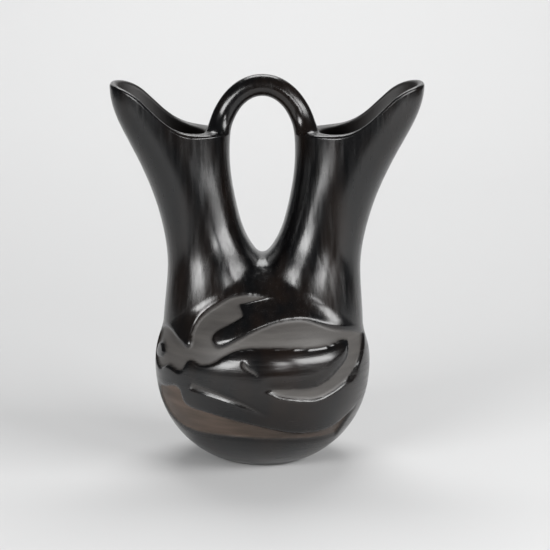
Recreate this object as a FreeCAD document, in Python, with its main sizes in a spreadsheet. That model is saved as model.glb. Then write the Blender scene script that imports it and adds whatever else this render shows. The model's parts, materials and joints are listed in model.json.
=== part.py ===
# Wedding vase: a hand-built pot with a round bowl, two necks that part above it and a handle that joins them.
# Millimetres, +Z up, origin at the middle of the foot; X runs from neck to neck, Y from back to front face.

import FreeCAD, Part
import Sketcher
import math
import os
from FreeCAD import Vector

doc = FreeCAD.newDocument("wedding_vase")

# Driving sizes: the sheet holds one named cell for each.
SIZES = [
    ("foot_radius", 31.0, "flat ring the pot stands on"),
    ("foot_arc", 72.0, "radius of the curve that leaves the foot"),
    ("lower_belly_arc", 95.0, "radius of the curve below the belly"),
    ("belly_radius", 79.7, "widest round of the bowl"),
    ("belly_height", 73.0, "height of the widest round"),
    ("shoulder_arc", 62.0, "radius of the curve above the belly"),
    ("shoulder_inset", 5.7, "outer line of the necks, in from the belly, where they leave the bowl"),
    ("shoulder_rise", 30.3, "height of that point above the belly"),
    ("waist_inset", 8.2, "outer line of the necks, in from the belly, at the waist"),
    ("waist_rise", 56.0, "height of the waist above the belly"),
    ("root_inset", 14.7, "outer line of the necks, in from the belly, inside the bowl"),
    ("root_drop", 10.0, "depth of that hidden point below the belly"),
    ("mouth_half_width", 114.6, "outer line at the mouths"),
    ("mouth_height", 275.2, "height at which the outer line stands upright"),
    ("flare_inset", 18.2, "outer line halfway up the flare, in from the mouths"),
    ("flare_drop", 45.2, "depth of that point below the mouths"),
    ("crotch_height", 153.6, "lowest point of the gap between the necks"),
    ("gap_foot_half_width", 9.4, "gap between the necks just above its lowest point"),
    ("gap_foot_rise", 9.4, "height of that point above the lowest one"),
    ("gap_low_half_width", 17.8, "gap between the necks lower down"),
    ("gap_low_rise", 31.9, "height of that point above the lowest one"),
    ("gap_half_width", 23.9, "gap between the necks at its widest"),
    ("gap_drop", 20.2, "depth of that point below the low edge of the mouths"),
    ("neck_depth", 68.0, "front to back size of a neck"),
    ("trunk_inset", 30.7, "front of the joined necks, in from the belly"),
    ("trunk_floor_drop", 27.0, "hidden underside of the joined necks, below the belly"),
    ("shoulder_blend", 20.0, "hollow where the necks flow into the bowl"),
    ("neck_lean", 0.017, "sideways lean of the mouths for each millimetre above the belly"),
    ("lip_low_half_width", 48.5, "lowest point of a mouth's edge"),
    ("lip_low_drop", 29.0, "depth of that point below the mouth's height"),
    ("lip_low_arc", 39.5, "curve of the mouth's edge beside the handle"),
    ("lip_rise_angle", 44.0, "slope of the mouth's edge in degrees"),
    ("lip_high_arc", 40.0, "curve of the mouth's edge at the outer tip"),
    ("lip_high_rise", 6.6, "height of the outer tip above the mouth's height"),
    ("lip_round", 2.2, "rounding of the mouth's outer edge"),
    ("lip_inner_round", 1.5, "rounding of the mouth's inner edge"),
    ("wall", 5.6, "thickness of the clay"),
    ("floor", 8.0, "thickness of the clay under the bowl"),
    ("handle_seat", 16.0, "extra clay of the mouth under the handle"),
    ("handle_thickness", 16.0, "coil that the handle is made of"),
    ("handle_rise", 40.4, "top of the handle above the low edge of the mouths"),
    ("handle_inset", 5.5, "middle of a leg beside the gap, level with the low edge"),
    ("handle_spread", 18.0, "lean of the handle's legs in degrees"),
    ("handle_end_drop", 5.2, "where a leg ends inside the neck, below the low edge"),
    ("handle_blend", 3.5, "hollow where a leg flows into the mouth"),
]
sheet = doc.addObject("Spreadsheet::Sheet", "sizes")
for row, (alias, value, meaning) in enumerate(SIZES, start=1):
    sheet.set(f"A{row}", meaning)
    sheet.set(f"B{row}", str(value))
    sheet.setAlias(f"B{row}", alias)
doc.recompute()


def size(alias):
    """Value of one named cell of the sheet."""
    return float(sheet.get(alias))


def bind(obj, prop, expression):
    """Tie a property or a sketch constraint to the sheet."""
    obj.setExpression(prop, expression)


def upright_sketch(name, turn=0.0):
    """Empty sketch in the upright plane through the necks, or in its copy turned about Z."""
    sketch = doc.addObject("Sketcher::SketchObject", name)
    upright = FreeCAD.Rotation(Vector(1, 0, 0), 90)
    about_z = FreeCAD.Rotation(Vector(0, 0, 1), turn)
    sketch.Placement = FreeCAD.Placement(Vector(0, 0, 0), about_z.multiply(upright))
    return sketch


def constrain(sketch, name, *rule):
    """Add a constraint; where it is named, its value comes from the expression that follows."""
    number = sketch.addConstraint(Sketcher.Constraint(*rule))
    if name:
        sketch.renameConstraint(number, name)
    return number


def joined(sketch, first, second):
    """End of one curve on the start of the next."""
    constrain(sketch, None, "Coincident", first, 2, second, 1)


# Bowl: a profile of tangent arcs, turned about the upright axis.
def bowl(name, inset, base):
    """Revolved bowl; the arcs of an inset one keep their centres, so the wall stays even."""
    belly, level = size("belly_radius"), size("belly_height")
    crown, under, toe = size("shoulder_arc"), size("lower_belly_arc"), size("foot_arc")
    less, floor = (size(inset), size(base)) if inset else (0.0, 0.0)
    sketch = upright_sketch(name + "_profile")

    # First guess at where the toe arc meets the belly arc; the constraints settle it.
    join = math.radians(-30.0)
    belly_centre = Vector(belly - under, level, 0)
    toe_centre = belly_centre + Vector(math.cos(join), math.sin(join), 0) * (under - toe)
    crown_centre = Vector(belly - crown, level, 0)
    up = Vector(0, 0, 1)
    foot = Vector(size("foot_radius"), 0, 0) - toe_centre
    foot_angle = math.atan2(foot.y, foot.x)
    toe_arc = sketch.addGeometry(
        Part.ArcOfCircle(Part.Circle(toe_centre, up, toe - less), foot_angle, join))
    belly_arc = sketch.addGeometry(
        Part.ArcOfCircle(Part.Circle(belly_centre, up, under - less), join, 0))
    crown_arc = sketch.addGeometry(
        Part.ArcOfCircle(Part.Circle(crown_centre, up, crown - less), 0, math.pi / 2))
    top = level + crown - less
    lid = sketch.addGeometry(Part.LineSegment(Vector(crown_centre.x, top, 0), Vector(0, top, 0)))
    axis = sketch.addGeometry(Part.LineSegment(Vector(0, top, 0), Vector(0, floor, 0)))
    sole = sketch.addGeometry(Part.LineSegment(Vector(0, floor, 0), Vector(size("foot_radius"), floor, 0)))
    rim = sketch.addGeometry(Part.Point(Vector(size("foot_radius"), 0, 0)), True)

    constrain(sketch, None, "Tangent", toe_arc, 2, belly_arc, 1)
    constrain(sketch, None, "Tangent", belly_arc, 2, crown_arc, 1)
    constrain(sketch, None, "Tangent", crown_arc, 2, lid, 1)
    joined(sketch, lid, axis)
    joined(sketch, axis, sole)
    joined(sketch, sole, toe_arc)
    constrain(sketch, None, "PointOnObject", lid, 2, -2)
    constrain(sketch, None, "PointOnObject", axis, 2, -2)
    constrain(sketch, None, "Horizontal", lid)
    constrain(sketch, None, "Horizontal", sole)
    constrain(sketch, None, "Horizontal", belly_arc, 3, belly_arc, 2)
    constrain(sketch, None, "PointOnObject", rim, 1, -1)
    constrain(sketch, "foot", "DistanceX", -1, 1, rim, 1, size("foot_radius"))
    bind(sketch, "Constraints.foot", "sizes.foot_radius")
    constrain(sketch, "belly_height", "DistanceY", -1, 1, belly_arc, 3, level)
    bind(sketch, "Constraints.belly_height", "sizes.belly_height")
    minus = f" - sizes.{inset}" if inset else ""
    constrain(sketch, "belly", "DistanceX", -1, 1, belly_arc, 2, belly - less)
    bind(sketch, "Constraints.belly", "sizes.belly_radius" + minus)
    constrain(sketch, "belly_arc", "Radius", belly_arc, under - less)
    bind(sketch, "Constraints.belly_arc", "sizes.lower_belly_arc" + minus)
    constrain(sketch, "crown_arc", "Radius", crown_arc, crown - less)
    bind(sketch, "Constraints.crown_arc", "sizes.shoulder_arc" + minus)
    constrain(sketch, "toe_arc", "Radius", toe_arc, toe - less)
    bind(sketch, "Constraints.toe_arc", "sizes.foot_arc" + minus)
    if inset:
        constrain(sketch, "floor", "DistanceY", -1, 1, axis, 2, floor)
        bind(sketch, "Constraints.floor", f"sizes.{base}")
        constrain(sketch, "toe_centre", "Distance", toe_arc, 3, rim, 1, toe)
        bind(sketch, "Constraints.toe_centre", "sizes.foot_arc")
    else:
        constrain(sketch, None, "Coincident", toe_arc, 1, rim, 1)

    turned = doc.addObject("Part::Revolution", name)
    turned.Source = sketch
    turned.Base = Vector(0, 0, 0)
    turned.Axis = Vector(0, 0, 1)
    turned.Angle = 360
    turned.Solid = True
    return turned


# Necks: one bent tube from mouth to mouth through the bowl, skinned over fanned sections.
POINTS_ROUND = 16
# Share of each line's length at which a section stands, from the mouth down.
OUTER_SHARES = [0.0, 0.08, 0.165, 0.265, 0.385, 0.505, 0.63, 0.77, 1.0]
INNER_SHARES = [0.0, 0.125, 0.25, 0.38, 0.515, 0.665, 0.81, 0.93, 0.985]
# How square a section is (2 is an ellipse), from the mouth down to the middle.
SQUARENESS = [2.0, 2.0, 2.0, 2.0, 2.05, 2.15, 2.25, 2.3, 2.3, 2.3]
# How far the depth has grown from the neck's to the trunk's.
DEPTH_GROWTH = [0.0, 0.0, 0.0, 0.0, 0.0, 0.0, 0.13, 0.47, 0.8, 1.0]
# How much of the handle's seat each mouth section keeps.
SEAT_SHARES = [1.0, 1.0, 0.75, 0.35, 0.08, 0.0, 0.0, 0.0, 0.0, 0.0]
# How far the lines run on above the mouths and above their low edge, before the mouths are cut.
ABOVE_MOUTH = 16.0
ABOVE_LOW_EDGE = 18.0


def low_edge():
    """Height of the lowest point of a mouth's edge."""
    return size("mouth_height") - size("lip_low_drop")


def lean(height):
    """Sideways shift of the necks' outer line at a height."""
    return size("neck_lean") * max(0.0, height - size("belly_height"))


def guide(points):
    """Smooth line through points (half width, height), first point first."""
    line = Part.BSplineCurve()
    line.interpolate(Points=[Vector(x, 0, z) for x, z in points])
    return line


def at_shares(line, shares):
    """Points at the given shares of a line's length."""
    length = line.length()
    first = line.FirstParameter
    return [line.value(line.parameterAtDistance(length * share, first)) for share in shares]


def section(outer, inner, half_depth, squareness, side, inset, seat):
    """Rounded section of a neck between its outer and inner points, as points round it."""
    start = Vector(side * outer.x + (lean(outer.z) if side else 0.0), 0, outer.z)
    end = Vector(side * inner.x, 0, inner.z)
    across = (end - start).normalize()
    start = start + across * inset
    end = end - across * (inset + seat)
    middle = (start + end) * 0.5
    half_width = (end - start).Length / 2
    points = []
    for k in range(POINTS_ROUND):
        turn = 2 * math.pi * k / POINTS_ROUND
        c, s = math.cos(turn), math.sin(turn)
        along = half_width * math.copysign(abs(c) ** (2 / squareness), c)
        aside = (half_depth - inset) * math.copysign(abs(s) ** (2 / squareness), s)
        points.append(middle + across * along + Vector(0, aside, 0))
    return points


def sections(inset, seat):
    """All sections from the left mouth, through the trunk, to the right mouth."""
    belly, level = size("belly_radius"), size("belly_height")
    mouth, mouth_z = size("mouth_half_width"), size("mouth_height")
    outer_line = guide([
        (mouth - 0.2, mouth_z + ABOVE_MOUTH),
        (mouth, mouth_z),
        (mouth - size("flare_inset"), mouth_z - size("flare_drop")),
        (belly - size("waist_inset"), level + size("waist_rise")),
        (belly - size("shoulder_inset"), level + size("shoulder_rise")),
        (belly - size("root_inset"), level - size("root_drop")),
    ])
    crotch = size("crotch_height")
    gap = [
        (size("gap_half_width") - 3.0, low_edge() + ABOVE_LOW_EDGE),
        (size("gap_half_width"), low_edge() - size("gap_drop")),
        (size("gap_low_half_width"), crotch + size("gap_low_rise")),
        (size("gap_foot_half_width"), crotch + size("gap_foot_rise")),
    ]
    inner_line = guide(gap + [(0.0, crotch)] + [(-x, z) for x, z in reversed(gap)])
    outers = at_shares(outer_line, OUTER_SHARES)
    inners = at_shares(inner_line, [share / 2 for share in INNER_SHARES])
    neck, trunk = size("neck_depth") / 2, belly - size("trunk_inset")
    depths = [neck + (trunk - neck) * share for share in DEPTH_GROWTH]
    sides = {}
    for side in (-1, 1):
        sides[side] = [
            section(outers[k], inners[k], depths[k], SQUARENESS[k], side, inset, seat * SEAT_SHARES[k])
            for k in range(len(outers))
        ]
    middle = section(Vector(0, 0, level - size("trunk_floor_drop")), Vector(0, 0, crotch),
                     trunk, SQUARENESS[-1], 0, inset, 0.0)
    return sides[-1] + [middle] + list(reversed(sides[1]))


def skin(rows):
    """Smooth surface through rows of points, closed round each row."""
    turns = [k / POINTS_ROUND for k in range(POINTS_ROUND + 1)]
    rings = []
    for row in rows:
        ring = Part.BSplineCurve()
        ring.interpolate(Points=row, PeriodicFlag=True, Parameters=turns)
        rings.append(ring)
    middles = []
    for row in rows:
        total = Vector(0, 0, 0)
        for point in row:
            total = total + point
        middles.append(total * (1.0 / len(row)))
    travel = [0.0]
    for a, b in zip(middles, middles[1:]):
        travel.append(travel[-1] + math.sqrt((b - a).Length))
    travel = [value / travel[-1] for value in travel]
    poles = []
    for k in range(rings[0].NbPoles):
        rail = Part.BSplineCurve()
        rail.interpolate(Points=[ring.getPole(k + 1) for ring in rings], Parameters=travel)
        poles.append(rail.getPoles())
    surface = Part.BSplineSurface()
    surface.buildFromPolesMultsKnots(
        poles, rings[0].getMultiplicities(), rail.getMultiplicities(),
        rings[0].getKnots(), rail.getKnots(), True, False, rings[0].Degree, rail.Degree)
    return surface


def necks(name, inset="", seat=""):
    """Solid of the bent tube, as clay or, inset, as the space inside it."""
    surface = skin(sections(size(inset) if inset else 0.0, size(seat) if seat else 0.0))
    low, high = surface.bounds()[2:]
    ends = [Part.Face(Part.Wire(surface.vIso(v).toShape())) for v in (low, high)]
    solid = Part.makeSolid(Part.makeShell([surface.toShape()] + ends))
    if solid.Volume < 0:
        solid.reverse()
    piece = doc.addObject("Part::Feature", name)
    piece.Shape = solid
    return piece


def united(name, *pieces):
    """Pieces joined into one."""
    whole = doc.addObject("Part::MultiFuse", name)
    whole.Shapes = list(pieces)
    return whole


def cut(name, base, tool):
    """Base without the tool."""
    rest = doc.addObject("Part::Cut", name)
    rest.Base = base
    rest.Tool = tool
    return rest


def rounded(name, base, radius, wanted):
    """Edges that the test picks, rounded."""
    doc.recompute()
    numbers = [k + 1 for k, edge in enumerate(base.Shape.Edges) if wanted(edge)]
    piece = doc.addObject("Part::Fillet", name)
    piece.Base = base
    piece.Edges = [(number, radius, radius) for number in numbers]
    return piece


# Clay of the bowl and the necks, with a soft hollow between them.
clay = united("clay", bowl("bowl_clay", "", ""), necks("neck_clay"))
doc.recompute()
crown_height = size("belly_height") + size("shoulder_arc")


def at_shoulder(edge):
    """The line where the necks leave the bowl."""
    box = edge.BoundBox
    return box.ZMin > size("belly_height") and box.ZMax < crown_height + 15 and box.XLength > size("belly_radius")


blended = rounded("blended_clay", clay, size("shoulder_blend"), at_shoulder)


# Mouths: the curved cut along the top of each neck.
def lip_cutter(name, side):
    """Block above a mouth's edge, drawn for the right and turned over for the left."""
    low_z = "sizes.mouth_height - sizes.lip_low_drop"
    shift = f"{side} * sizes.neck_lean * ({low_z} - sizes.belly_height)"
    offset = side * lean(low_edge())
    sketch = upright_sketch(name + "_profile", 0.0 if side > 0 else 180.0)
    slope = math.radians(size("lip_rise_angle"))
    low = Vector(size("lip_low_half_width") + offset, low_edge(), 0)
    low_centre = low + Vector(0, size("lip_low_arc"), 0)
    rise = low_centre + Vector(math.sin(slope), -math.cos(slope), 0) * size("lip_low_arc")
    high_z = size("mouth_height") + size("lip_high_rise") - size("lip_high_arc")
    crest_z = high_z + math.cos(slope) * size("lip_high_arc")
    crest = Vector(rise.x + (crest_z - rise.y) / math.tan(slope), crest_z, 0)
    high_centre = crest - Vector(-math.sin(slope), math.cos(slope), 0) * size("lip_high_arc")
    tip = high_centre + Vector(0, size("lip_high_arc"), 0)
    far, ceiling, near = tip.x + 15, tip.y + 30, size("gap_half_width") / 2
    up = Vector(0, 0, 1)
    corners = [Vector(far, tip.y, 0), Vector(far, ceiling, 0), Vector(near, ceiling, 0), Vector(near, low.y, 0)]
    ledge = sketch.addGeometry(Part.LineSegment(corners[3], low))
    valley = sketch.addGeometry(Part.ArcOfCircle(
        Part.Circle(low_centre, up, size("lip_low_arc")), -math.pi / 2, slope - math.pi / 2))
    ramp = sketch.addGeometry(Part.LineSegment(rise, crest))
    hill = sketch.addGeometry(Part.ArcOfCircle(
        Part.Circle(high_centre, up, size("lip_high_arc")), math.pi / 2, slope + math.pi / 2))
    flat = sketch.addGeometry(Part.LineSegment(tip, corners[0]))
    end = sketch.addGeometry(Part.LineSegment(corners[0], corners[1]))
    roof = sketch.addGeometry(Part.LineSegment(corners[1], corners[2]))
    back = sketch.addGeometry(Part.LineSegment(corners[2], corners[3]))
    constrain(sketch, None, "Tangent", ledge, 2, valley, 1)
    constrain(sketch, None, "Tangent", valley, 2, ramp, 1)
    constrain(sketch, None, "Tangent", ramp, 2, hill, 2)
    constrain(sketch, None, "Tangent", hill, 1, flat, 1)
    joined(sketch, flat, end)
    joined(sketch, end, roof)
    joined(sketch, roof, back)
    joined(sketch, back, ledge)
    for line in (ledge, flat, roof):
        constrain(sketch, None, "Horizontal", line)
    for line in (end, back):
        constrain(sketch, None, "Vertical", line)
    constrain(sketch, "low_x", "DistanceX", -1, 1, ledge, 2, low.x)
    bind(sketch, "Constraints.low_x", "sizes.lip_low_half_width + " + shift)
    constrain(sketch, "low_z", "DistanceY", -1, 1, ledge, 2, low.y)
    bind(sketch, "Constraints.low_z", low_z)
    constrain(sketch, "low_arc", "Radius", valley, size("lip_low_arc"))
    bind(sketch, "Constraints.low_arc", "sizes.lip_low_arc")
    constrain(sketch, "high_arc", "Radius", hill, size("lip_high_arc"))
    bind(sketch, "Constraints.high_arc", "sizes.lip_high_arc")
    constrain(sketch, "high_z", "DistanceY", -1, 1, flat, 1, tip.y)
    bind(sketch, "Constraints.high_z", "sizes.mouth_height + sizes.lip_high_rise")
    constrain(sketch, "slope", "Angle", ramp, slope)
    bind(sketch, "Constraints.slope", "sizes.lip_rise_angle * 1 deg")
    constrain(sketch, "far", "DistanceX", flat, 1, end, 1, far - tip.x)
    constrain(sketch, "high", "DistanceY", end, 1, end, 2, ceiling - tip.y)
    constrain(sketch, "near", "DistanceX", -1, 1, back, 1, near)
    bind(sketch, "Constraints.near", "sizes.gap_half_width / 2")
    block = doc.addObject("Part::Extrusion", name)
    block.Base = sketch
    block.DirMode = "Normal"
    block.Symmetric = True
    block.Solid = True
    bind(block, "LengthFwd", "sizes.neck_depth * 2")
    return block


shaped = cut("cut_clay", blended, united("lip_cutters", lip_cutter("right_lip", 1), lip_cutter("left_lip", -1)))


def along_a_lip(edge):
    """An edge that runs along a mouth, and not across its lip."""
    box = edge.BoundBox
    level = box.ZMin > low_edge() - 1 and box.ZMax < size("mouth_height") + size("lip_high_rise") + 1
    return level and edge.Curve.TypeId != "Part::GeomLine"


lipped = rounded("lipped_clay", shaped, size("lip_round"), along_a_lip)


# Space inside: the bowl and the bent tube once more, smaller by the wall.
space = united("space", bowl("bowl_space", "wall", "floor"), necks("neck_space", "wall", "handle_seat"))
hollow = cut("hollow_clay", lipped, space)
doc.recompute()


def inside_a_lip(edge):
    """An edge along a mouth where the space inside comes out."""
    if not along_a_lip(edge):
        return False
    middle = edge.valueAt((edge.FirstParameter + edge.LastParameter) / 2)
    return space.Shape.isInside(middle, 0.05, True)


open_clay = rounded("open_clay", hollow, size("lip_inner_round"), inside_a_lip)

# Handle: a coil bent over from neck to neck.
def handle():
    """Round coil swept along two legs and the bend between them."""
    spread = math.radians(size("handle_spread"))
    leg = size("gap_half_width") + size("handle_inset")
    crown = size("handle_rise") - size("handle_thickness") / 2
    # Radius of the middle line over the top, for legs that stand where they should.
    bend = (leg - crown * math.tan(spread)) / (math.cos(spread) + (math.sin(spread) - 1) * math.tan(spread))
    centre = Vector(0, low_edge() + crown - bend, 0)
    path = upright_sketch("handle_path")
    bow = path.addGeometry(Part.ArcOfCircle(Part.Circle(centre, Vector(0, 0, 1), bend), spread, math.pi - spread))
    hips = [centre + Vector(side * math.cos(spread), math.sin(spread), 0) * bend for side in (1, -1)]
    drop = hips[0].y - low_edge() + size("handle_end_drop")
    toes = [hip + Vector(side * drop * math.tan(spread), -drop, 0) for hip, side in zip(hips, (1, -1))]
    right = path.addGeometry(Part.LineSegment(toes[0], hips[0]))
    left = path.addGeometry(Part.LineSegment(hips[1], toes[1]))
    seat = path.addGeometry(Part.Point(Vector(leg, low_edge(), 0)), True)
    top = path.addGeometry(Part.Point(Vector(0, low_edge() + crown, 0)), True)
    constrain(path, None, "Tangent", right, 2, bow, 1)
    constrain(path, None, "Tangent", bow, 2, left, 1)
    constrain(path, None, "PointOnObject", bow, 3, -2)
    constrain(path, None, "Symmetric", right, 1, left, 2, -2)
    constrain(path, None, "PointOnObject", seat, 1, right)
    constrain(path, None, "PointOnObject", top, 1, bow)
    constrain(path, None, "PointOnObject", top, 1, -2)
    constrain(path, "leg", "DistanceX", -1, 1, seat, 1, leg)
    bind(path, "Constraints.leg", "sizes.gap_half_width + sizes.handle_inset")
    constrain(path, "seat", "DistanceY", -1, 1, seat, 1, low_edge())
    bind(path, "Constraints.seat", "sizes.mouth_height - sizes.lip_low_drop")
    constrain(path, "top", "DistanceY", -1, 1, top, 1, low_edge() + crown)
    bind(path, "Constraints.top",
         "sizes.mouth_height - sizes.lip_low_drop + sizes.handle_rise - sizes.handle_thickness / 2")
    constrain(path, "toe", "DistanceY", -1, 1, right, 1, toes[0].y)
    bind(path, "Constraints.toe", "sizes.mouth_height - sizes.lip_low_drop - sizes.handle_end_drop")
    constrain(path, "spread", "Angle", right, math.pi / 2 + spread)
    bind(path, "Constraints.spread", "(90 + sizes.handle_spread) * 1 deg")
    ring = doc.addObject("Part::Circle", "handle_section")
    bind(ring, "Radius", "sizes.handle_thickness / 2")
    doc.recompute()
    start = path.Shape.Vertexes
    foot = max((v.Point for v in start), key=lambda p: p.x - p.z)
    along = Vector(-math.sin(spread), 0, math.cos(spread))
    ring.Placement = FreeCAD.Placement(foot, FreeCAD.Rotation(Vector(0, 0, 1), along))
    coil = doc.addObject("Part::Sweep", "handle_coil")
    coil.Sections = [ring]
    coil.Spine = (path, ["Edge%d" % (k + 1) for k in range(len(path.Shape.Edges))])
    coil.Solid = True
    coil.Frenet = False
    return coil


joined_clay = united("joined_clay", open_clay, handle())


def at_handle_root(edge):
    """The lines where a leg leaves the clay of its neck."""
    box = edge.BoundBox
    slender = box.YMax < size("handle_thickness") / 2 + 0.5 and box.YMin > -size("handle_thickness") / 2 - 0.5
    low = box.ZMax < low_edge() + 1 and box.ZMin > low_edge() - size("handle_end_drop")
    return slender and low and box.YLength > 1


vase = rounded("vase", joined_clay, size("handle_blend"), at_handle_root)
doc.recompute()
vase.Label = "vase"

# Every object must have come out whole before anything is written.
for item in doc.Objects:
    if "Invalid" in item.State or "Error" in item.State:
        raise RuntimeError(f"{item.Name} did not recompute: {item.State}")
NODES = [vase]
for node in NODES:
    if node.Shape.isNull() or not node.Shape.isValid():
        raise RuntimeError(f"{node.Label} has no valid shape")
os.makedirs("parts", exist_ok=True)
for node in NODES:
    node.Shape.exportStep(f"parts/{node.Label}.step")
    box = node.Shape.BoundBox
    print(node.Label, len(node.Shape.Solids), "solid", round(node.Shape.Volume), "mm3",
          round(box.XLength, 1), round(box.YLength, 1), round(box.ZLength, 1))
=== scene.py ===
# Burnished blackware wedding vase: a round bowl with a carved snake, two flared necks, and a coil handle
# bent over the gap between them.
# Sizes are in millimetres here and become metres when a mesh is made; -Y is the side that the camera sees.

import json
import math

import bmesh
import bpy
import numpy as np
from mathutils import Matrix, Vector
from mathutils.bvhtree import BVHTree

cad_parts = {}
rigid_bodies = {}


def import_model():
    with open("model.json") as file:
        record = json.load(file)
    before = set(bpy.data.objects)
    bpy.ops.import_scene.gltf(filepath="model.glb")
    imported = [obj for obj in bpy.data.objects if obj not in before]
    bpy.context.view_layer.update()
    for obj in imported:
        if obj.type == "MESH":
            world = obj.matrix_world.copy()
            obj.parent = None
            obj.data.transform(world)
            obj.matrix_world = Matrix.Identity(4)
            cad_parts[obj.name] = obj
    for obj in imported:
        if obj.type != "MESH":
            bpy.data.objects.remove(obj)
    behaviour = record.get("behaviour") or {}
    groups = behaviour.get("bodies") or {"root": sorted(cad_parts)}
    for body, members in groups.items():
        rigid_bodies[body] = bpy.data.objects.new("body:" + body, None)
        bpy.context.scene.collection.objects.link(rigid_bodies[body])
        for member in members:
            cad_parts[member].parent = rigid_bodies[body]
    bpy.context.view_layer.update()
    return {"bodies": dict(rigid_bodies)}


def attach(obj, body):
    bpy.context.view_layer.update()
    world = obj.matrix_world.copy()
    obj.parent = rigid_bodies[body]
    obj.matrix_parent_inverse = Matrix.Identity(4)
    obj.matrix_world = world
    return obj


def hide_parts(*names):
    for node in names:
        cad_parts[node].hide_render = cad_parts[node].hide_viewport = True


bl_info = {
    "name": "Blackware wedding vase",
    "version": (1, 0, 0),
    "blender": (4, 5, 0),
    "location": "3D View > Sidebar > Wedding vase",
    "description": "Forms a carved and burnished wedding vase and the studio round it",
    "category": "Object",
}

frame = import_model()
BODY = next(iter(frame["bodies"]))
MM = 0.001


# Colours and nodes.
def linear(hex_colour):
    """Linear RGBA of an sRGB hex colour."""
    channels = [int(hex_colour[k:k + 2], 16) / 255 for k in (1, 3, 5)]
    return [c / 12.92 if c <= 0.04045 else ((c + 0.055) / 1.055) ** 2.4 for c in channels] + [1.0]


def add(tree, kind, inputs=None, **settings):
    """A node with its settings; inputs are plain values or sockets to link."""
    node = tree.nodes.new(kind)
    for name, value in settings.items():
        setattr(node, name, value)
    for name, value in (inputs or {}).items():
        socket = node.inputs[name]
        if isinstance(value, bpy.types.NodeSocket):
            tree.links.new(value, socket)
        else:
            socket.default_value = value
    return node


def maths(tree, operation, *values, **settings):
    """Result of one operation on plain values or sockets."""
    node = add(tree, "ShaderNodeMath", dict(enumerate(values)), operation=operation, **settings)
    return node.outputs["Value"]


def mixed(tree, kind, factor, a, b):
    """Mix of two colours or two numbers."""
    return add(tree, "ShaderNodeMix", {"Factor": factor, "A": a, "B": b}, data_type=kind).outputs["Result"]


def noise(tree, place_on, scale, detail):
    """Noise drawn out along an axis by a smaller scale there."""
    spot = add(tree, "ShaderNodeMapping", {"Vector": place_on, "Scale": scale}).outputs["Vector"]
    return add(tree, "ShaderNodeTexNoise", {"Vector": spot, "Scale": 1.0, "Detail": detail}).outputs["Fac"]


def ramp(tree, factor, stops):
    """A colour ramp; stops are (place, colour)."""
    node = add(tree, "ShaderNodeValToRGB", {"Fac": factor})
    band = node.color_ramp
    while len(band.elements) < len(stops):
        band.elements.new(0.5)
    for element, (place_on, shade) in zip(band.elements, stops):
        element.position = place_on
        element.color = linear(shade)
    return node.outputs["Color"]


# Lines and surfaces of the clay.
def smooth_line(knots, values):
    """Curve with no sudden bend through values at the knots, as a function of the same parameter."""
    t = np.asarray(knots, float)
    y = np.asarray(values, float).reshape(len(t), -1)
    n, h = len(t), np.diff(t)
    system, right = np.eye(n), np.zeros(y.shape)
    for i in range(1, n - 1):
        system[i, i - 1:i + 2] = h[i - 1], 2 * (h[i - 1] + h[i]), h[i]
        right[i] = 6 * ((y[i + 1] - y[i]) / h[i] - (y[i] - y[i - 1]) / h[i - 1])
    bend = np.linalg.solve(system, right)

    def at(x):
        x = np.asarray(x, float)
        k = np.clip(np.searchsorted(t, x, side="right") - 1, 0, n - 2)
        after, before, span = (x - t[k])[:, None], (t[k + 1] - x)[:, None], h[k][:, None]
        cubic = (bend[k] * before ** 3 + bend[k + 1] * after ** 3) / (6 * span)
        from_low = (y[k] / span - bend[k] * span / 6) * before
        from_high = (y[k + 1] / span - bend[k + 1] * span / 6) * after
        return cubic + from_low + from_high

    return at


def lengths(points):
    """Distance travelled up to each point."""
    return np.concatenate([[0.0], np.cumsum(np.linalg.norm(np.diff(points, axis=0), axis=1))])


def through(points, count):
    """Points along the smooth line through a few points."""
    points = np.asarray(points, float)
    if len(points) == 2:
        return points[0] + np.linspace(0, 1, count)[:, None] * (points[1] - points[0])
    travel = lengths(points)
    return smooth_line(travel, points)(np.linspace(0, travel[-1], count))


def at_shares(points, shares):
    """Points at shares of a line's length, measured on a dense copy of it."""
    dense = through(points, 1500)
    travel = lengths(dense)
    wanted = np.asarray(shares) * travel[-1]
    return np.stack([np.interp(wanted, travel, dense[:, k]) for k in range(2)], axis=1)


# The bowl: its belly, the radii of its tangent arcs below and above the belly, and its flat foot.
BELLY, BELLY_Z = 79.7, 73.0
LOWER_ARC, TOE_ARC, CROWN_ARC, FOOT = 95.0, 72.0, 62.0, 31.0
WALL, FLOOR = 5.6, 8.0
# The necks, as the solid has them: their lean to the right for each mm of height, the height of the
# mouths and of the lowest point of their edge, and the foot of the gap.
LEAN = 0.017
MOUTH_Z = 275.2
LOW_EDGE = MOUTH_Z - 29.0
CROTCH = 153.6
# The right neck's outer line, from above the mouth to inside the bowl, and its line along the gap.
OUTER_LINE = [(114.4, 291.2), (114.6, 275.2), (96.4, 230.0), (71.5, 129.0), (74.0, 103.3), (65.0, 63.0)]
GAP_LINE = [(20.9, 264.2), (23.9, 226.0), (17.8, 185.5), (9.4, 163.0), (0.0, CROTCH)]
# Where each section starts on the outer line and ends on the line along the gap.
OUTER_SHARES = [0.0, 0.08, 0.165, 0.265, 0.385, 0.505, 0.63, 0.77, 1.0]
INNER_SHARES = [0.0, 0.125, 0.25, 0.38, 0.515, 0.665, 0.81, 0.93, 0.985]
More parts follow.
